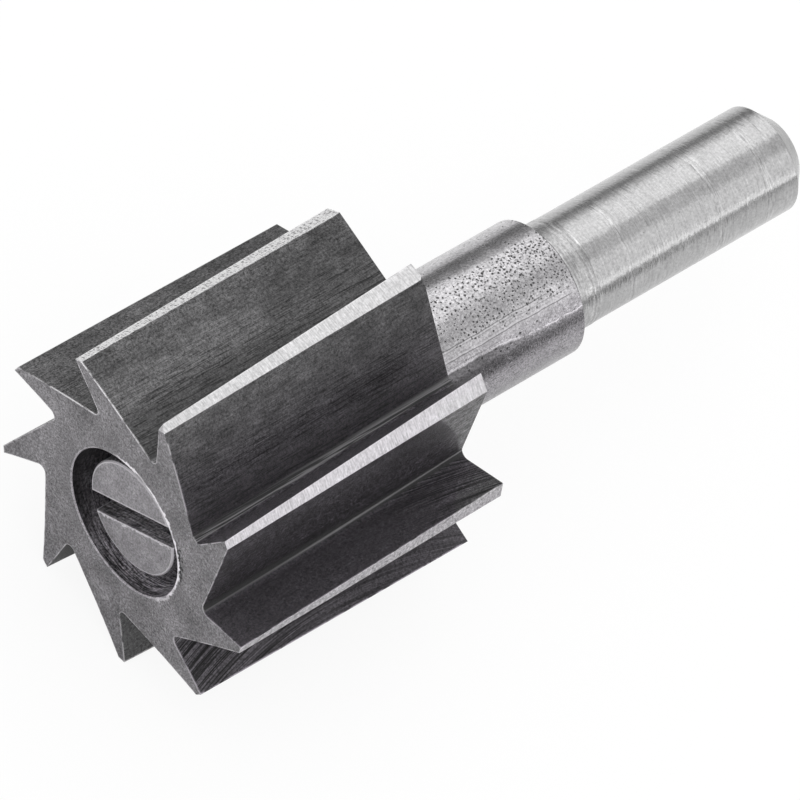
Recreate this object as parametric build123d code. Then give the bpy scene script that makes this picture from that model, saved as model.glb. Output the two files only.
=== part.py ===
from build123d import *
from math import atan2, cos, degrees, radians, sin, sqrt, tan
import os

# A grooving router bit: a toothed head clamped to a turned arbor by a slotted screw.
# It lies on two teeth with its axis level. +X runs along the axis from the toothed front face to
# the shank end, and +Z is up. The origin is under the axis, halfway along it, on the surface.
# Sizes are in millimetres and angles in degrees.

# Toothed head
cutter_diameter = 25.0
cutter_length = 22.4
tooth_count = 9
helix_angle = 3.16
rake_angle = 10.6
relief_angle = 5.7
land_at_front = 0.61
land_at_back = 1.33
flute_depth = 4.42
flute_root_radius = 0.5
dish_depth = 0.28
counterbore_diameter = 10.95
counterbore_depth = 4.36
counterbore_break = 0.08
bore_diameter = 7.0
bore_break = 0.4

# Wear on the uppermost tooth
worn_tip = 0.25
worn_heel = 0.12

# Arbor
collar_diameter = 10.1
collar_length = 13.8
collar_break = 0.15
neck_diameter = 8.06
neck_length = 2.15
shank_diameter = 8.0
shank_length = 21.5
shank_bevel = 1.4
spigot_fit = 0.04
spigot_end_gap = 0.6
spigot_bevel = 0.4
tapped_hole_depth = 18.0
drill_point_angle = 118.0

# Slotted cheese-head screw
head_diameter = 8.5
head_height = 3.4
head_break = 0.1
slot_width = 1.62
slot_depth = 1.9
slot_angle = 150.1
thread_diameter = 5.0
thread_length = 16.0
thread_bevel = 0.6
thread_fit = 0.1

cutter_radius = cutter_diameter / 2
tooth_pitch = 360 / tooth_count
shoulder = cutter_length
collar_end = shoulder + collar_length
shank_end = collar_end + shank_length
upward = 90.0


def tooth_angle(k, x):
    """Angle of the cutting edge of tooth k at x. Tooth 0 points upward at the back of the head."""
    turn = (cutter_length - x) * tan(radians(helix_angle)) / cutter_radius
    return upward + degrees(turn) + tooth_pitch * k


def directions(angle):
    """Outward and round the axis, as unit vectors in the plane across the axis."""
    a = radians(angle)
    return Vector(cos(a), sin(a)), Vector(-sin(a), cos(a))


def tooth_corners(k, x):
    """Root, cutting edge and heel of tooth k in the plane across the axis at x."""
    outward, around = directions(tooth_angle(k, x))
    rake, relief = radians(rake_angle), radians(relief_angle)
    land = land_at_front + (land_at_back - land_at_front) * x / cutter_length
    edge = outward * cutter_radius
    root = edge + (around * sin(rake) - outward * cos(rake)) * flute_depth
    heel = edge + (around * cos(relief) - outward * sin(relief)) * land
    return root, edge, heel


def tooth_section(x):
    """Outline of the toothed head at x, with a round root in each flute."""
    corners = [point for k in range(tooth_count) for point in tooth_corners(k, x)]
    outline = make_face(Polyline(*corners, close=True))
    roots = outline.vertices().sort_by(lambda v: v.center().length)[:tooth_count]
    return Plane.YZ.offset(x) * fillet(roots, flute_root_radius)


def turned(*outline):
    """Solid of revolution about X from the corners of half its lengthwise section."""
    return revolve(Plane.XZ * make_face(Polyline(*outline, close=True)), Axis.X)


def frustum(start, end, start_diameter, end_diameter):
    """Cone frustum about X, or a round bar where both diameters are the same."""
    return turned((start, 0), (end, 0), (end, end_diameter / 2), (start, start_diameter / 2))


def dish_tool(stock):
    """What hollow grinding takes off the front of a head with some stock in front of it."""
    flat = counterbore_diameter / 2
    outside = cutter_radius + stock
    grind = ((cutter_radius - flat) ** 2 + dish_depth**2) / (2 * dish_depth)
    rim = dish_depth - grind + sqrt(grind**2 - (outside - flat) ** 2)
    ground = RadiusArc((dish_depth, flat), (rim, outside), -grind)
    front = -2 * stock
    rest = Polyline((rim, outside), (front, outside), (front, 0), (dish_depth, 0), (dish_depth, flat))
    return revolve(Plane.XZ * make_face([ground, rest]), Axis.X)


def wear_tool(x, corner, along, outward_part, around_part, depth):
    """Block that wears down a tooth corner at x by a depth, square to the direction it is worn from."""
    outward, around = directions(tooth_angle(0, x))
    across = outward * outward_part + around * around_part
    away = Vector(along, across.X, across.Y).normalized()
    face = Plane(Vector(x, corner.X, corner.Y) - away * depth, z_dir=away)
    size = 8 * depth
    return extrude(face * Rectangle(size, size), size)


def make_cutter():
    """Toothed head with its dished face, counterbore and bore, worn at two corners of one tooth."""
    stock = 0.5
    head = loft([tooth_section(x) for x in (-stock, stock, cutter_length)], ruled=True)
    head -= dish_tool(stock)
    head -= frustum(-stock, counterbore_depth, counterbore_diameter, counterbore_diameter)
    flare = counterbore_diameter + 2 * (dish_depth + counterbore_break)
    head -= frustum(0, dish_depth + counterbore_break, flare, counterbore_diameter)
    head -= frustum(0, cutter_length, bore_diameter, bore_diameter)
    mouth = cutter_length - bore_break
    head -= frustum(mouth, cutter_length, bore_diameter, bore_diameter + 2 * bore_break)
    front_root, front_edge, front_heel = tooth_corners(0, 0)
    back_root, back_edge, back_heel = tooth_corners(0, cutter_length)
    head -= wear_tool(0, front_edge, -1, 1, -0.6, worn_tip)
    return head - wear_tool(cutter_length, back_heel, 1, 0.8, 1, worn_heel)


def make_arbor():
    """Shank, collar and spigot in one turned piece, with the tapped hole for the screw."""
    spigot_end = counterbore_depth + spigot_end_gap
    spigot = (bore_diameter - spigot_fit) / 2
    collar, neck, shank = collar_diameter / 2, neck_diameter / 2, shank_diameter / 2
    neck_end = collar_end + neck_length
    body = turned(
        (spigot_end, 0),
        (spigot_end, spigot - spigot_bevel),
        (spigot_end + spigot_bevel, spigot),
        (shoulder, spigot),
        (shoulder, collar),
        (collar_end - collar_break, collar),
        (collar_end, collar - collar_break),
        (collar_end, neck),
        (neck_end, neck),
        (neck_end, shank),
        (shank_end - shank_bevel, shank),
        (shank_end, shank - shank_bevel),
        (shank_end, 0),
    )
    hole = (thread_diameter + thread_fit) / 2
    hole_end = spigot_end + tapped_hole_depth
    point = hole_end + hole / tan(radians(drill_point_angle / 2))
    return body - turned((spigot_end, 0), (spigot_end, hole), (hole_end, hole), (point, 0))


def make_clamp_screw():
    """Slotted cheese-head screw, seated on the floor of the counterbore."""
    seat = counterbore_depth
    top = seat - head_height
    head, thread = head_diameter / 2, thread_diameter / 2
    end = seat + thread_length
    screw = turned(
        (top, 0),
        (top, head - head_break),
        (top + head_break, head),
        (seat, head),
        (seat, thread),
        (end - thread_bevel, thread),
        (end, thread - thread_bevel),
        (end, 0),
    )
    slot = Plane.YZ.offset(top) * Rot(0, 0, slot_angle) * Rectangle(2 * head_diameter, slot_width)
    return screw - extrude(slot, slot_depth)


def lay_down(piece):
    """Rolls a piece so that the heel of one low tooth and the edge of the next lie level."""
    low = tooth_count // 2
    heel = tooth_corners(low, cutter_length)[2]
    edge = tooth_corners(low + 1, cutter_length)[1]
    roll = -degrees(atan2(edge.Y - heel.Y, edge.X - heel.X))
    lowest = tooth_corners(low, 0)[2].rotate(Axis.Z, roll)
    return Pos(-shank_end / 2, 0, -lowest.Y) * Rot(roll, 0, 0) * piece


os.makedirs("parts", exist_ok=True)
pieces = {
    "cutter": make_cutter(),
    "arbor": make_arbor(),
    "clamp_screw": make_clamp_screw(),
}
for name, piece in pieces.items():
    export_step(lay_down(piece), f"parts/{name}.step")
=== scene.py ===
from math import cos, degrees, radians, sin

import bpy
from mathutils import Matrix, Vector


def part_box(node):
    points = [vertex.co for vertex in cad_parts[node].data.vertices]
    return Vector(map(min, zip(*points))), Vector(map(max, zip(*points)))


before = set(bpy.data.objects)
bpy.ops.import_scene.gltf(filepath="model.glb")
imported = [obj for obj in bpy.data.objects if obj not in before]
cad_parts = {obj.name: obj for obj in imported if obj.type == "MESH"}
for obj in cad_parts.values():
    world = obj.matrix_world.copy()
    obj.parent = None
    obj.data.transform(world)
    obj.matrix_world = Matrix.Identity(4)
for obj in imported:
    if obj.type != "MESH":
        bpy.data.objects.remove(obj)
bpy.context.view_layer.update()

MM = 0.001

# Places along the axis and radii, in metres. They follow the solids.
arbor_low, arbor_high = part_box("arbor")
cutter_low, cutter_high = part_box("cutter")
screw_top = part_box("clamp_screw")[0].x
front = cutter_low.x
shoulder = cutter_high.x
shank_end = arbor_high.x
collar_radius = (arbor_high.z - arbor_low.z) / 2
axis_height = (arbor_low.z + arbor_high.z) / 2
cutter_length = shoulder - front
collar_end = shoulder + 13.8 * MM
neck_end = collar_end + 2.15 * MM

# Directions round the axis, in degrees. Turns grow from the top towards the near side (-Y). Turn 0
# lies just past the top, by the front corner of the uppermost tooth. The teeth are 40 apart.
turn_start = 2.59
slot_direction = 147.5

# Fine grain of the metal, in cells to the metre. It is the same on all the pieces.
grain_scale = 5600.0


class Graph:
    """Node tree of one material or world. Each method adds nodes and returns an output."""

    def __init__(self, name, tree=None):
        if tree is None:
            self.material = bpy.data.materials.new(name)
            self.material.use_nodes = True
            tree = self.material.node_tree
        self.tree = tree
        self.tree.nodes.clear()

    def add(self, kind, **settings):
        node = self.tree.nodes.new(kind)
        for key, value in settings.items():
            setattr(node, key, value)
        return node

    def feed(self, socket, value):
        if isinstance(value, bpy.types.NodeSocket):
            self.tree.links.new(value, socket)
        else:
            socket.default_value = value

    def calc(self, operation, a, b=0.0):
        node = self.add("ShaderNodeMath", operation=operation)
        self.feed(node.inputs[0], a)
        self.feed(node.inputs[1], b)
        return node.outputs[0]

    def total(self, first, *others):
        for other in others:
            first = self.calc("ADD", first, other)
        return first

    def product(self, first, *others):
        for other in others:
            first = self.calc("MULTIPLY", first, other)
        return first

    def most(self, first, *others):
        """The largest of some values, which for masks is where any of them holds."""
        for other in others:
            first = self.calc("MAXIMUM", first, other)
        return first

    def minus(self, a, b):
        return self.calc("SUBTRACT", a, b)

    def without(self, mask, hole):
        """A mask less the part where a second mask holds."""
        return self.product(mask, self.minus(1.0, hole))

    def vector(self, operation, a, b=(0, 0, 0)):
        node = self.add("ShaderNodeVectorMath", operation=operation)
        self.feed(node.inputs[0], a)
        self.feed(node.inputs[1], b)
        return node.outputs["Value" if operation in ("DOT_PRODUCT", "LENGTH") else "Vector"]

    def split(self, vector):
        node = self.add("ShaderNodeSeparateXYZ")
        self.feed(node.inputs[0], vector)
        return node.outputs

    def join(self, x, y, z):
        node = self.add("ShaderNodeCombineXYZ")
        for socket, value in zip(node.inputs, (x, y, z)):
            self.feed(socket, value)
        return node.outputs[0]

    def step(self, value, low, high, start=0.0, end=1.0):
        """Smooth step of a value between two limits, from start to end."""
        node = self.add("ShaderNodeMapRange", interpolation_type="SMOOTHSTEP")
        for socket, number in zip(node.inputs[:5], (value, low, high, start, end)):
            self.feed(socket, number)
        return node.outputs[0]

    def band(self, value, low, high, soft):
        """1 between two plain numbers and 0 outside them, with soft ends."""
        rise = self.step(value, low - soft, low + soft)
        return self.product(rise, self.step(value, high + soft, high - soft))

    def blend(self, factor, a, b):
        """a where the factor is 0 and b where it is 1."""
        node = self.add("ShaderNodeMix", data_type="FLOAT")
        for socket, value in zip(node.inputs[:1] + node.inputs[2:4], (factor, a, b)):
            self.feed(socket, value)
        return node.outputs[0]

    def noise(self, vector, scale=1.0, detail=2.0, roughness=0.6):
        node = self.add("ShaderNodeTexNoise")
        self.feed(node.inputs["Vector"], vector)
        node.inputs["Scale"].default_value = scale
        node.inputs["Detail"].default_value = detail
        node.inputs["Roughness"].default_value = roughness
        return node.outputs["Fac"]

    def noise_over(self, value, scale):
        """Noise that changes with one value alone."""
        return self.noise(self.join(self.product(value, scale), 0.0, 0.0))

    def warped(self, vector, scale, amount):
        """A place shifted a little at random, so that round forms turn out uneven."""
        node = self.add("ShaderNodeTexNoise")
        self.feed(node.inputs["Vector"], vector)
        node.inputs["Scale"].default_value = scale
        shift = self.vector("SUBTRACT", node.outputs["Color"], (0.5, 0.5, 0.5))
        return self.vector("ADD", vector, self.vector("MULTIPLY", shift, (amount, amount, amount)))

    def swing(self, noise, amount):
        """A noise made to swing about 0, by up to half the amount to each side."""
        return self.product(self.minus(noise, 0.5), amount)

    def vary(self, value, noise, strength):
        """A value made higher and lower by a noise, but never near zero."""
        least = 0.15
        return self.product(value, self.most(self.total(self.swing(noise, strength), 1.0), least))

    def pits(self, spot, cell, share, edge):
        """Scattered round pits on a flat layout: 1 in the middle of one and 0 outside.

        The layout is divided into uneven cells of about one size. A share of them holds a pit,
        and the edge is the radius of the largest pit as a part of a cell.
        """
        node = self.add("ShaderNodeTexVoronoi", voronoi_dimensions="2D")
        self.feed(node.inputs["Vector"], spot)
        node.inputs["Scale"].default_value = 1 / cell
        chance = self.split(node.outputs["Color"])
        size = self.blend(chance["Y"], 0.6 * edge, edge)
        inside = self.step(self.calc("DIVIDE", node.outputs["Distance"], size), 1.0, 0.4)
        return self.product(inside, self.calc("LESS_THAN", chance["X"], share))


class Steel(Graph):
    """Material of one steel piece, with the place and direction of its surface at hand."""

    def __init__(self, name):
        super().__init__(name)
        self.place = self.add("ShaderNodeTexCoord").outputs["Object"]
        self.facing = self.add("ShaderNodeNewGeometry").outputs["True Normal"]
        part = self.split(self.place)
        height = self.minus(part["Z"], axis_height)
        across = self.join(0.0, part["Y"], height)
        self.x = part["X"]
        self.along = self.minus(part["X"], front)
        self.layout = self.join(part["Y"], part["Z"], 0.0)
        self.radius = self.vector("LENGTH", across)
        self.outward = self.vector("NORMALIZE", across)
        around = self.vector("CROSS_PRODUCT", (1, 0, 0), self.outward)
        self.facing_x = self.split(self.facing)["X"]
        self.facing_out = self.vector("DOT_PRODUCT", self.facing, self.outward)
        self.facing_round = self.vector("DOT_PRODUCT", self.facing, around)
        backwards = self.product(part["Y"], -1.0)
        angle = self.product(self.calc("ARCTAN2", backwards, height), degrees(1.0))
        self.turn = self.minus(angle, turn_start)
        self.grain = self.noise(self.place, grain_scale, 3.0, 0.7)

    def speckle(self):
        """The fine grain with harder dots."""
        return self.noise(self.place, grain_scale, 4.0, 0.9)

    def streaky(self, along, across, detail=2.0, roughness=0.6):
        """Noise with one scale along the tool and another across it."""
        place = self.vector("MULTIPLY", self.place, (along, across, across))
        return self.noise(place, 1.0, detail, roughness)

    def towards(self, turn, low, high):
        """1 on the side of the axis that faces a turn, 0 on the other side.

        The limits are cosines of the angle between a place and that turn.
        """
        angle = radians(turn + turn_start)
        side = self.vector("DOT_PRODUCT", self.outward, (0.0, -sin(angle), cos(angle)))
        return self.step(side, low, high)

    def scratch(self, across, level, start, end):
        """Thin lengthwise scratch at a level round the surface, from start to end."""
        width, blur, fade = 0.05 * MM, 0.03 * MM, 0.6 * MM
        line = self.band(across, level, level + width, blur)
        return self.product(line, self.band(self.along, start, end, fade))

    def rounded(self, radius):
        """Normal of the surface with its edges rounded to a radius."""
        node = self.add("ShaderNodeBevel", samples=8)
        node.inputs["Radius"].default_value = radius
        return node.outputs[0]

    def edge_wear_highlight(self, radius, noise, share):
        """Broken line of wear along the edges, painted bright as a highlight: 1 on it and 0
        elsewhere.
        """
        soft = 0.08
        turned = self.vector("DOT_PRODUCT", self.rounded(radius), self.facing)
        kept = self.step(noise, share + soft, share - soft)
        return self.product(self.step(turned, 0.97, 0.90), kept)

    def metal(self, value, tint, roughness, height, depth, metallic=1.0):
        """Finished steel from a grey value, a tint, a roughness and a height for the bump.

        The tint is the share that green loses, and blue gains half of it.
        """
        shader = self.add("ShaderNodeBsdfPrincipled")
        relief = self.add("ShaderNodeBump")
        relief.inputs["Distance"].default_value = depth
        self.feed(relief.inputs["Height"], height)
        self.feed(relief.inputs["Normal"], self.rounded(0.05 * MM))
        self.feed(shader.inputs["Normal"], relief.outputs[0])
        green = self.product(value, self.minus(1.0, tint))
        blue = self.product(value, self.total(1.0, self.product(tint, 0.5)))
        self.feed(shader.inputs["Base Color"], self.join(value, green, blue))
        self.feed(shader.inputs["Roughness"], roughness)
        self.feed(shader.inputs["Metallic"], metallic)
        output = self.add("ShaderNodeOutputMaterial")
        self.tree.links.new(shader.outputs[0], output.inputs[0])
        return self.material


def dress(node, material):
    """Gives a node of the model its finished material."""
    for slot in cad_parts[node].material_slots:
        slot.material = material


def flank_value(g, cloud, streaks, far_side):
    """Backs of the teeth: lengthwise streaks, with smudges towards the land, and painted light and
    shade.
    """
    grey_at_root, grey_at_land, far_side_light = 0.056, 0.055, 0.047
    smudges = g.streaky(700, 1100, 4.0, 0.65)
    high = g.step(g.total(g.radius, g.swing(cloud, 2.0 * MM)), 9.6 * MM, 10.8 * MM)
    tone = g.blend(high, grey_at_root, grey_at_land)
    # Painted light: the flanks towards the far side are made lighter, here and again below
    tone = g.total(tone, g.product(g.towards(-60, -0.5, 0.8), far_side_light))
    tone = g.product(tone, g.blend(high, 1.0, g.step(g.along, 9 * MM, 18 * MM, 1.08, 0.82)))
    halfway = g.product(g.band(g.radius, 9.9 * MM, 11.1 * MM, 0.35 * MM), g.towards(45, 0.75, 0.9))
    tone = g.product(tone, g.blend(halfway, 1.0, 0.78), g.blend(far_side, 1.0, 1.17))
    tone = g.vary(tone, cloud, 0.8)

    # The flute beyond the uppermost tooth: a lighter zone with a ragged end, and painted shade
    # that darkens it towards the root
    ragged_light_and_root_shade = g.total(g.along, g.swing(smudges, 9.0 * MM))
    ragged_light_and_root_shade = g.step(ragged_light_and_root_shade, 12.2 * MM, 13.4 * MM, 1.27, 0.86)
    ragged_light_and_root_shade = g.blend(g.band(g.radius, 9.55 * MM, 10.95 * MM, 0.3 * MM), 0.96, ragged_light_and_root_shade)
    ragged_light_and_root_shade = g.product(ragged_light_and_root_shade, g.step(g.radius, 9.6 * MM, 9.0 * MM, 1.0, 0.8))
    tone = g.product(tone, g.blend(g.towards(-22, 0.915, 0.95), 1.0, ragged_light_and_root_shade))
    tone = g.product(tone, g.blend(g.towards(18, 0.915, 0.95), 1.0, 0.93))

    hairs = g.step(g.streaky(480, 13500, 1.0), 0.47, 0.37)
    tone = g.vary(tone, smudges, g.blend(high, 0.4, 1.6))
    tone = g.vary(tone, streaks, g.blend(high, 1.4, 0.7))
    return g.product(tone, g.blend(hairs, 1.0, g.blend(high, 0.36, 0.7)))


def rake_value(g):
    """Rake faces: marks of the grinding wheel in wide curves."""
    grey, strength, curve = 0.072, 2.6, 16.0
    middle = g.minus(g.along, cutter_length / 2)
    level = g.minus(g.radius, g.product(middle, middle, curve))
    course = g.join(g.product(g.along, 160), g.product(level, 9500), g.product(g.turn, 0.2))
    arcs = g.step(g.noise(course), 0.3, 0.72)
    low_tooth = g.towards(125, 0.85, 0.97)
    at_front = g.step(g.along, 14 * MM, 5 * MM, 0.4, 1.0)
    at_back = g.step(g.along, 14 * MM, 20 * MM, 0.12, 0.9)
    marks = g.product(g.blend(low_tooth, at_back, at_front), strength)
    # Painted shade: the rake of the low tooth is made a little darker
    return g.product(g.vary(grey, arcs, marks), g.blend(low_tooth, 1.0, 0.95))


def root_value(g):
    """Rounded roots: bright lengthwise lines painted in as highlights, and in the low flute on the
    near side one thin painted highlight along the crease.
    """
    grey, root_highlight_grey = 0.055, 0.3
    # Painted highlights: bright lengthwise lines, mostly on one side of the roots
    highlight_threads = g.step(g.streaky(60, 9500, 1.0), 0.45, 0.54)
    highlight_threads = g.product(highlight_threads, g.step(g.facing_round, 0.1, -0.5, 0.3, 1.0))
    highlight_threads = g.product(highlight_threads, g.blend(g.towards(33, 0.8, 0.95), 0.35, 1.0))
    # Painted highlight: one thin bright line along the crease of the low flute
    drift = g.product(g.along, g.total(260.0, g.product(g.along, 4300.0)))
    crease_highlight = g.band(g.total(g.turn, drift), 84.2, 84.9, 0.3)
    crease_highlight = g.product(crease_highlight, g.step(g.along, 6 * MM, 12 * MM, 0.6, 1.0))
    return g.blend(g.blend(g.towards(75, 0.93, 0.97), highlight_threads, crease_highlight), grey, root_highlight_grey)


def land_value(g, lines):
    """Lands: fine lines ground across them, coarser on the one beyond the uppermost tooth, with
    painted light and shade.
    """
    grey = 0.58
    rough = g.towards(-36, 0.955, 0.98)
    lower = g.towards(90, 0.8, 0.95)
    near_side = g.towards(0, 0.1, 0.7)
    land = g.vary(grey, lines, g.blend(rough, 1.05, 2.8))
    land = g.vary(land, g.grain, g.blend(lower, g.blend(rough, 0.9, 4.2), 3.2))
    # Painted light and shade: the land beyond the uppermost tooth is made lighter, and the lands
    # away from the top darker
    return g.product(land, g.blend(rough, g.blend(near_side, 0.73, 1.0), 1.68))


def face_value(g, cloud, speckle, coarse):
    """Front and back faces: fine even speckle, a few light flecks and one rubbed patch."""
    grey, light_grey = 0.225, 0.42
    flecks = g.pits(g.layout, 0.5 * MM, g.step(cloud, 0.45, 0.7, 0.02, 0.4), 0.22)
    face = g.blend(flecks, g.vary(g.vary(grey, speckle, 4.9), cloud, 1.3), light_grey)
    rubbed = g.band(g.radius, 7.7 * MM, 8.8 * MM, 0.5 * MM)
    rubbed = g.product(g.towards(178, 0.985, 0.996), rubbed, g.step(coarse, 0.42, 0.62))
    return g.blend(rubbed, face, light_grey)


def counterbore_value(g):
    """Counterbore: dark, with streaks round its wall, painted shade towards its mouth, and painted
    light on one side and shade on the other.
    """
    shaded_mouth_grey, grey_inside = 0.11, 0.42
    rings = g.step(g.streaky(9500, 700, 3.0, 0.7), 0.35, 0.65)
    # Painted shade: the wall is darker near the mouth
    deep = g.step(g.along, 0.4 * MM, 2.0 * MM)
    lit = g.towards(110, -0.6, 0.3)
    bore = g.vary(g.blend(deep, shaded_mouth_grey, grey_inside), rings, g.blend(lit, 0.9, 1.9))
    return g.product(g.vary(bore, g.grain, 4.5), g.blend(lit, 0.33, 1.55))


def burr_highlight_and_nicks(g):
    """Bright ragged burr on the counterbore's mouth, painted bright as a highlight on one side,
    and dark nicks just outside it.
    """
    ragged = g.swing(g.noise(g.place, 1500.0, 4.0, 0.8), 1.1 * MM)
    ragged = g.total(g.radius, ragged, g.product(g.towards(80, 0.85, 0.95), 0.1 * MM))
    # Painted highlight: the burr is bright only on one side of the mouth
    burr_highlight = g.band(ragged, 5.53 * MM, 5.79 * MM, 0.03 * MM)
    burr_highlight = g.product(burr_highlight, g.step(g.facing_x, -0.3, -0.6), g.towards(50, 0.15, 0.4))
    burr_highlight = g.product(burr_highlight, g.step(g.noise(g.place, 520.0, 1.0), 0.38, 0.5, 0.45, 1.0))
    nicks = g.pits(g.warped(g.layout, 2500.0, 0.2 * MM), 0.4 * MM, 0.8, 0.45)
    nicks = g.product(nicks, g.band(g.radius, 5.82 * MM, 6.2 * MM, 0.08 * MM))
    nicks = g.most(nicks, g.band(ragged, 5.85 * MM, 6.0 * MM, 0.03 * MM))
    return burr_highlight, g.product(nicks, g.towards(66, 0.93, 0.98))


def cutter_material():
    """Dark streaky flutes, bright ground lands, speckled faces and a dark counterbore."""
    g = Steel("cutter_steel")
    cloud = g.noise(g.place, 420.0, 3.0)
    coarse = g.noise(g.place, 2600.0, 4.0, 0.9)
    speckle = g.speckle()
    streaks = g.streaky(420, 7000, 3.0, 0.65)
    lines = g.streaky(10500, 1500)

    # Where each surface is
    is_front = g.step(g.facing_x, -0.9, -0.95)
    is_back = g.step(g.facing_x, 0.9, 0.95)
    is_face = g.most(is_front, is_back)
    is_land = g.product(g.step(g.facing_out, 0.9, 0.93), g.step(g.radius, 11.8 * MM, 12.0 * MM))
    is_tip = g.step(g.radius, 11.6 * MM, 11.8 * MM)
    is_tip = g.product(g.band(g.facing_x, -0.82, -0.4, 0.05), is_tip)
    is_bore = g.product(g.step(g.radius, 5.8 * MM, 5.7 * MM), g.step(g.facing_out, -0.5, -0.8))
    is_rim = g.product(g.step(g.facing_x, -0.5, -0.6), g.step(g.facing_out, -0.5, -0.6))
    is_rake = g.step(g.facing_round, -0.5, -0.65)
    is_root = g.step(g.radius, 9.05 * MM, 8.95 * MM)
    is_root = g.product(is_root, g.band(g.facing_round, -0.86, 0.18, 0.05))
    is_ground = g.most(is_land, is_tip)
    far_side = g.towards(-85, 0.55, 0.8)
    dusty = g.towards(80, 0.7, 0.9)

    # Speckle on the flanks and rake faces, coarser in the low flutes
    flank = flank_value(g, cloud, streaks, far_side)
    flank = g.vary(flank, speckle, g.blend(dusty, g.blend(far_side, 4.8, 7.0), 14.0))
    flank = g.vary(flank, coarse, g.product(dusty, 4.5))
    rake = g.vary(rake_value(g), speckle, g.blend(g.towards(40, 0.9, 0.97), 5.0, 14.0))
    rake = g.vary(rake, coarse, g.product(dusty, 2.0))

    # Scuffed patch at the back end of one flank
    scuffed_grey, rim_grey = 0.17, 0.34
    reach = g.total(g.along, g.product(g.radius, 0.93))
    scuffed = g.product(g.step(reach, 29.7 * MM, 30.05 * MM), g.towards(57, 0.93, 0.95))
    scuffs = g.vary(g.vary(scuffed_grey, streaks, 3.0), coarse, 6.0)
    flank = g.blend(scuffed, flank, scuffs)

    # Surfaces put together
    value = g.blend(is_root, g.blend(is_rake, flank, rake), root_value(g))
    value = g.blend(is_face, value, face_value(g, cloud, speckle, coarse))
    value = g.blend(is_ground, value, land_value(g, lines))
    value = g.blend(is_bore, value, counterbore_value(g))
    value = g.blend(is_rim, value, g.vary(rim_grey, speckle, 5.0))

    # Painted highlights: bright metal along the worn edges, stronger on one side, and on the burr
    bare_highlight_grey, nick_grey = 0.88, 0.03
    patches = g.noise(g.place, 900.0, 3.0, 0.7)
    worn_highlight = g.without(g.edge_wear_highlight(0.22 * MM, patches, 0.55), g.step(g.along, 21.8 * MM, 22.1 * MM))
    worn_highlight = g.product(worn_highlight, g.blend(g.towards(-35, 0.8, 0.96), 0.45, 1.0))
    burr_highlight, nicks = burr_highlight_and_nicks(g)
    bare_and_highlight = g.most(worn_highlight, burr_highlight)
    value = g.blend(bare_and_highlight, value, bare_highlight_grey)
    value = g.blend(g.product(nicks, is_front), value, nick_grey)

    # Gloss: dull in the roots and low flutes, and on the painted highlights, whose brightness is
    # painted into their colour
    flat = g.most(is_ground, is_face)
    shaded = g.most(g.step(g.radius, 9.4 * MM, 8.7 * MM), dusty, is_rake)
    metallic = g.blend(is_bore, g.blend(shaded, 0.7, 0.3), 0.6)
    metallic = g.blend(bare_and_highlight, g.blend(flat, metallic, 1.0), 0.2)
    roughness = g.blend(is_front, g.blend(is_land, 0.4, 0.45), 0.5)

    # Bump, coarse on the flanks that are seen at a grazing angle
    grazed = g.product(speckle, g.without(g.towards(58, 0.8, 0.93), flat), 8.0)
    height = g.total(streaks, g.product(g.grain, 0.4), g.product(lines, is_land))
    height = g.total(height, g.product(burr_highlight, 2.0), grazed)

    # A trace of violet on the near side
    violet = g.towards(75, 0.2, 0.9)
    tint = g.blend(is_land, g.blend(violet, 0.012, 0.09), g.blend(violet, 0.008, 0.03))
    tint = g.blend(g.most(is_root, scuffed), tint, 0.021)
    tint = g.blend(is_bore, g.blend(is_front, tint, 0.03), 0.05)
    return g.metal(value, tint, roughness, height, 0.02 * MM, metallic)


def shank_value(g, spot, lines):
    """Shank: short fine lines round it from the turning, a few small dings, and painted shade on
    the near side and on the end bevel.
    """
    grey, ding_grey = 0.43, 0.27
    groups = g.noise_over(g.x, 900)
    shank = g.vary(g.vary(grey, lines, g.step(groups, 0.5, 0.68, 0.7, 2.4)), g.grain, 1.0)
    # Painted shade: the shank is made a little darker on the near side
    shank = g.product(shank, g.blend(g.towards(90, 0.5, 0.9), 1.0, 0.93))
    dings = g.pits(g.warped(spot, 1800.0, 0.4 * MM), 0.8 * MM, 0.03, 0.12)
    shank = g.blend(dings, shank, ding_grey)
    # Painted shade: the end bevel is made darker
    bevel = shank_end - 1.4 * MM
    return g.product(shank, g.step(g.x, bevel - 0.1 * MM, bevel + 0.1 * MM, 1.0, 0.6))


def collar_pits(g, spot, cloud, top, near_end):
    """Pits of two sizes, most on the upper side near the shank and none underneath."""
    many = g.step(g.total(cloud, g.product(top, 0.6)), 0.5, 1.1, 0.06, 0.85)
    uneven = g.warped(spot, 3200.0, 0.22 * MM)
    coarse = g.pits(uneven, 0.31 * MM, many, 0.36)
    fine = g.pits(uneven, 0.17 * MM, g.product(many, 0.5), 0.42)
    return g.product(g.most(coarse, g.product(fine, 0.6)), g.towards(0, 0.1, 0.7))


def collar_scratches(g, arc):
    """Long wavy scratches, and bright lines painted beside two of them as highlights of the metal
    raised there.
    """
    sway = g.noise_over(g.along, 280)
    wavy = g.total(arc, g.swing(sway, 0.45 * MM))

    # Level round the collar, start and end along the tool (all in mm), and depth
    cuts = (
        (2.50, 24.5, 33.5, 1.0),
        (3.32, 24.3, 35.5, 1.0),
        (2.68, 24.3, 31.0, 0.4),
        (2.86, 29.5, 36.0, 0.5),
        (3.08, 24.3, 34.0, 0.35),
        (3.75, 24.3, 29.0, 0.5),
    )
    # Painted highlights beside two scratches, in the same columns
    highlight_lines = ((2.60, 24.5, 33.0, 0.6), (3.22, 24.3, 35.0, 0.6))

    def drawn(lines):
        return g.total(
            *(
                g.product(g.scratch(wavy, level * MM, start * MM, end * MM), depth)
                for level, start, end, depth in lines
            )
        )

    return drawn(cuts), drawn(highlight_lines)


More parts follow.
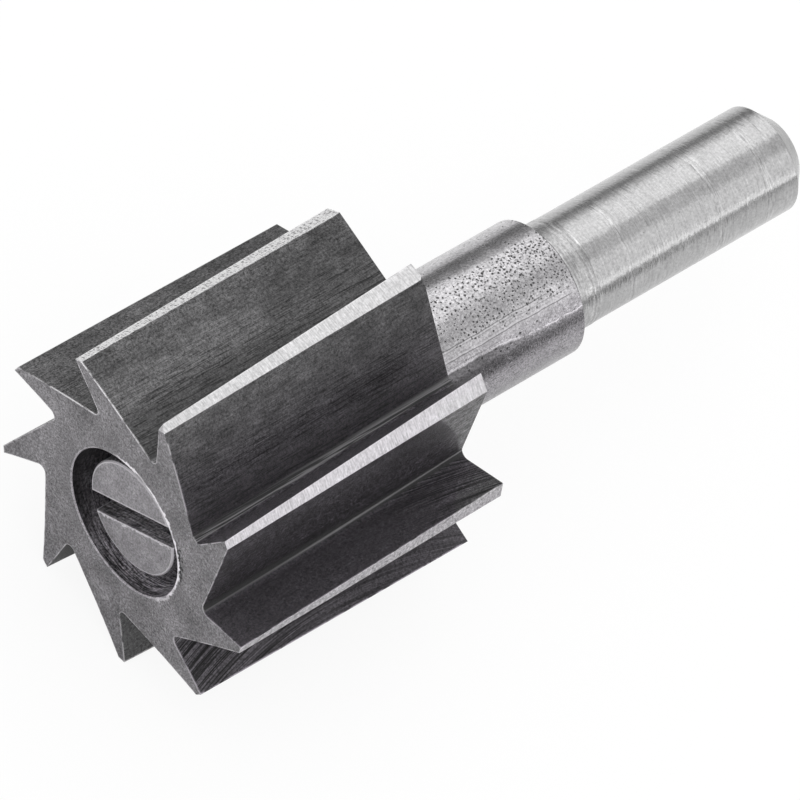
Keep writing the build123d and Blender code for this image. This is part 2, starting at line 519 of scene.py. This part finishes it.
def collar_value(g, arc, spot, underside):
    """Collar: finely pitted and scratched on top, speckled and painted darker underneath, with a
    painted highlight line and painted shade between.
    """
    top_grey, shaded_underside_grey = 0.45, 0.29
    pit_grey, cut_grey, scratch_highlight_grey = 0.05, 0.12, 0.56
    cloud = g.noise(g.place, 650.0, 3.0)
    near_end = g.step(g.along, 24 * MM, 33 * MM)
    top = g.product(g.towards(8, 0.86, 0.98), g.blend(near_end, 0.45, 1.0))

    # Painted shade and reflections: a darker underside, a darker band along the far side which
    # narrows towards the shank's end, and a band on the near side made lighter towards the shank's
    # end and darker towards the cutter
    band_end = g.blend(near_end, -24.0, -19.0)
    dark_reflection_band = g.step(g.minus(g.turn, band_end), 2.5, -2.5)
    dark_reflection_band = g.product(g.step(g.turn, -40.5, -35.5), dark_reflection_band)
    grey = g.product(g.blend(underside, top_grey, shaded_underside_grey), g.blend(dark_reflection_band, 1.0, 0.68))
    reflection_beside_band = g.blend(near_end, 0.9, 1.13)
    grey = g.product(grey, g.blend(g.band(g.turn, 18.0, 43.0, 4.0), 1.04, reflection_beside_band))

    speckle = g.noise(g.place, 7500.0, 3.0, 0.9)
    collar = g.vary(g.vary(grey, cloud, 0.8), g.grain, g.blend(underside, 2.2, 0.8))
    collar = g.vary(collar, speckle, g.product(underside, 4.0))
    collar = g.blend(g.product(top, 0.2), collar, g.product(collar, 0.6))
    pitted = collar_pits(g, spot, cloud, top, near_end)
    collar = g.blend(pitted, collar, pit_grey)
    # Scratches, with painted highlights beside two of them
    cuts, scratch_highlights = collar_scratches(g, arc)
    collar = g.blend(cuts, g.blend(scratch_highlights, collar, scratch_highlight_grey), cut_grey)

    # Painted highlight along the collar: a ragged bright line, with painted shade under it
    rugged = g.swing(g.noise(spot, 1500.0, 3.0, 0.7), 5.0)
    highlight_turn = g.step(g.along, 27.5 * MM, 34.0 * MM, 45.3, 52.3)
    below = g.total(g.minus(g.turn, highlight_turn), rugged)
    glint = g.product(g.band(below, -1.1, -0.3, 0.4), g.step(cloud, 0.33, 0.48))
    collar = g.blend(glint, collar, g.blend(near_end, 0.46, 0.6))
    shadow = g.product(g.step(below, 0.2, 1.2), g.step(g.turn, 61.0, 55.0))
    shade = g.step(g.along, 27 * MM, 34 * MM, 0.34, 0.8)
    return g.product(collar, g.blend(shadow, 1.0, shade)), pitted


def arbor_material():
    """Bright turned steel: a finely pitted collar, turning marks on the neck, a satin shank."""
    g = Steel("arbor_steel")
    arc = g.product(g.turn, radians(1.0) * collar_radius)
    spot = g.join(g.along, arc, 0.0)
    lines = g.streaky(7500, 900, 3.0, 0.65)
    rings = g.noise_over(g.x, 3000)
    is_collar = g.step(g.x, collar_end + 0.02 * MM, collar_end - 0.02 * MM)
    is_neck = g.without(g.step(g.x, neck_end + 0.2 * MM, neck_end - 0.2 * MM), is_collar)
    is_end = g.step(g.facing_x, 0.9, 0.97)
    underside = g.towards(95, 0.35, 0.8)

    # Neck with the rings left by the tool, and flat ends with the circles of facing
    neck_grey, end_grey = 0.41, 0.40
    circles = g.noise_over(g.radius, 3600)
    neck = g.vary(g.vary(g.vary(neck_grey, rings, 1.35), lines, 1.2), g.grain, 1.3)
    end = g.vary(g.vary(end_grey, circles, 1.0), g.grain, 1.0)
    collar, pitted = collar_value(g, arc, spot, underside)
    value = g.blend(is_neck, g.blend(is_collar, shank_value(g, spot, lines), collar), neck)
    value = g.blend(is_end, value, end)

    roughness = g.blend(is_neck, g.blend(is_collar, 0.16, 0.19), 0.24)
    dents = g.blend(is_collar, g.streaky(3600, 1000), g.product(g.grain, 0.4))
    height = g.total(g.product(lines, 0.5), g.product(rings, is_neck, 1.5), g.product(dents, 0.8))
    height = g.minus(height, g.product(pitted, is_collar, 0.8))
    tint = g.blend(is_collar, 0.004, g.blend(underside, 0.018, 0.035))
    return g.metal(value, tint, roughness, height, 0.03 * MM)


def screw_material():
    """Smooth matt grey steel, darker in the slot, with painted highlights along its lips and the
    rim of the head.
    """
    grey, worn_highlight_grey = 0.29, 0.62
    g = Steel("screw_steel")
    cloud = g.noise(g.place, 900.0, 3.0)
    on_top = g.step(g.x, screw_top + 0.15 * MM, screw_top + 0.05 * MM)
    direction = radians(slot_direction)
    slot_along = (0.0, cos(direction), sin(direction))
    slot_across = (0.0, -sin(direction), cos(direction))

    # Marks of the saw, lengthwise in the slot
    length = g.vector("DOT_PRODUCT", g.place, slot_along)
    width = g.vector("DOT_PRODUCT", g.place, slot_across)
    cut = g.join(g.product(length, 700), g.product(width, 6000), g.product(g.x, 6000))
    marks = g.noise(cut, 1.0, 3.0, 0.65)
    slot = g.vary(g.vary(grey, marks, 5.0), g.grain, 5.0)
    top = g.vary(g.vary(grey, g.speckle(), 3.3), cloud, 0.9)

    # Painted highlights along worn edges: one ragged lip of the slot, one even one, and the rim of
    # the head
    worn_highlight = g.edge_wear_highlight(0.2 * MM, g.noise(g.place, 1600.0, 3.0, 0.7), 0.58)
    level = g.product(g.vector("DOT_PRODUCT", g.outward, slot_across), g.radius)
    chips = g.swing(g.noise(g.place, 2200.0, 3.0, 0.8), 1.0 * MM)
    lower_lip = g.band(g.total(level, chips), 0.84 * MM, 0.95 * MM, 0.02 * MM)
    upper_lip = g.product(g.band(level, -0.92 * MM, -0.80 * MM, 0.02 * MM), 0.6)
    rim = g.product(g.step(g.radius, 4.05 * MM, 4.09 * MM), 0.6)
    worn_highlight = g.most(worn_highlight, g.product(g.most(lower_lip, upper_lip, rim), on_top))

    value = g.blend(worn_highlight, g.blend(on_top, slot, top), worn_highlight_grey)
    height = g.total(g.grain, g.product(marks, 0.6))
    metallic = g.blend(worn_highlight, g.blend(on_top, 0.6, 1.0), 0.2)
    return g.metal(value, 0.035, g.blend(worn_highlight, 0.42, 0.3), height, 0.01 * MM, metallic)


def surround():
    """Studio round the object: soft boxes and gaps of their own brightness in an even sky."""
    world = bpy.data.worlds.new("surround")
    world.use_nodes = True
    g = Graph("surround", world.node_tree)
    direction = g.split(g.add("ShaderNodeTexCoord").outputs["Generated"])
    elevation = g.product(g.calc("ARCSINE", direction["Z"]), degrees(1.0))
    azimuth = g.product(g.calc("ARCTAN2", direction["Y"], direction["X"]), degrees(1.0))

    # Azimuth and elevation of the middle, half sizes, softness (all in degrees) and brightness
    panels = (
        ((61, 6), (35, 9), 6, 0.35),
        ((34.5, 46), (29.5, 20), 6, 1.58),
        ((-62, 24), (26, 26), 5, 1.25),
        ((-62, 4), (26, 5), 2, 1.85),
        ((-145, 58), (60, 26), 8, 1.3),
        ((0, 90), (200, 18), 4, 1.6),
    )
    sky = 0.85
    for middle, size, soft, brightness in panels:
        sides = [
            g.step(g.calc("ABSOLUTE", g.minus(angle, place)), half + soft, half - soft)
            for angle, place, half in zip((azimuth, elevation), middle, size)
        ]
        sky = g.blend(g.product(*sides), sky, brightness)

    seen = g.add("ShaderNodeLightPath").outputs["Is Camera Ray"]
    background = g.add("ShaderNodeBackground")
    background.inputs["Color"].default_value = (1.0, 1.0, 1.0, 1.0)
    g.feed(background.inputs["Strength"], g.blend(seen, sky, 1.0))
    output = g.add("ShaderNodeOutputWorld")
    g.feed(output.inputs[0], background.outputs[0])
    bpy.context.scene.world = world


def floor():
    """White floor for the camera; for the metal its colour is a painted pool of light that dims
    with distance, with a painted shadow beside the object.
    """
    half = 3.0
    corners = [(-half, -half, 0), (half, -half, 0), (half, half, 0), (-half, half, 0)]
    mesh = bpy.data.meshes.new("floor")
    mesh.from_pydata(corners, [], [(0, 1, 2, 3)])
    plane = bpy.data.objects.new("floor", mesh)
    bpy.context.collection.objects.link(plane)
    g = Graph("floor_paint")
    place = g.add("ShaderNodeTexCoord").outputs["Object"]

    # Painted pool of light: the floor's colour dims with the logarithm of the distance from its
    # middle
    near, far, bright, dim = -1.5, -0.3, 0.97, 0.45
    distance = g.vector("LENGTH", place)
    pool = g.step(g.calc("LOGARITHM", distance, 10.0), near, far, bright, dim)

    # Painted shadow: a darker oval on the near side, lengthwise away from the object
    middle, half_length, half_width = (0.04, -0.10, 0), 0.075, 0.025
    side = g.vector("MULTIPLY", g.vector("SUBTRACT", place, middle), (1, 1, 0))
    length = g.calc("DIVIDE", g.vector("DOT_PRODUCT", side, (0.42, -0.91, 0)), half_length)
    width = g.calc("DIVIDE", g.vector("DOT_PRODUCT", side, (0.91, 0.42, 0)), half_width)
    shadow_oval = g.total(g.product(length, length), g.product(width, width))
    pool = g.product(pool, g.step(shadow_oval, 1.2, 0.5, 1.0, 0.15))

    # The camera sees a white floor that keeps a little of the object's shadow
    white_share = 0.9
    seen = g.add("ShaderNodeLightPath").outputs["Is Camera Ray"]
    value = g.blend(seen, pool, bright)
    paint = g.add("ShaderNodeBsdfDiffuse")
    g.feed(paint.inputs["Color"], g.join(value, value, value))
    white = g.add("ShaderNodeEmission")
    mix = g.add("ShaderNodeMixShader")
    g.feed(mix.inputs[0], g.product(seen, white_share))
    g.feed(mix.inputs[1], paint.outputs[0])
    g.feed(mix.inputs[2], white.outputs[0])
    g.feed(g.add("ShaderNodeOutputMaterial").inputs[0], mix.outputs[0])
    mesh.materials.append(g.material)


def camera():
    """Long-lens camera at the photograph's angle, 0.65 m from the object."""
    lens, sensor, distance = 438.7, 36.0, 0.65313
    azimuth, elevation, tilt = radians(-54.487), radians(54.005), radians(18.687)
    aim = Vector((-4.70366, -0.87093, 8.92884)) * MM
    data = bpy.data.cameras.new("camera")
    data.lens, data.sensor_width = lens, sensor
    data.clip_start, data.clip_end = 0.05, 10.0
    eye = bpy.data.objects.new("camera", data)
    flat = cos(elevation)
    forward = Vector((-sin(azimuth) * flat, cos(azimuth) * flat, -sin(elevation)))
    level = forward.to_track_quat("-Z", "Y").to_matrix()
    turned = (level @ Matrix.Rotation(tilt, 3, "Z")).to_4x4()
    eye.matrix_world = Matrix.Translation(aim - forward * distance) @ turned
    bpy.context.collection.objects.link(eye)
    bpy.context.scene.camera = eye


camera()
surround()
floor()
dress("cutter", cutter_material())
dress("arbor", arbor_material())
dress("clamp_screw", screw_material())
bpy.context.scene.view_settings.view_transform = "Standard"
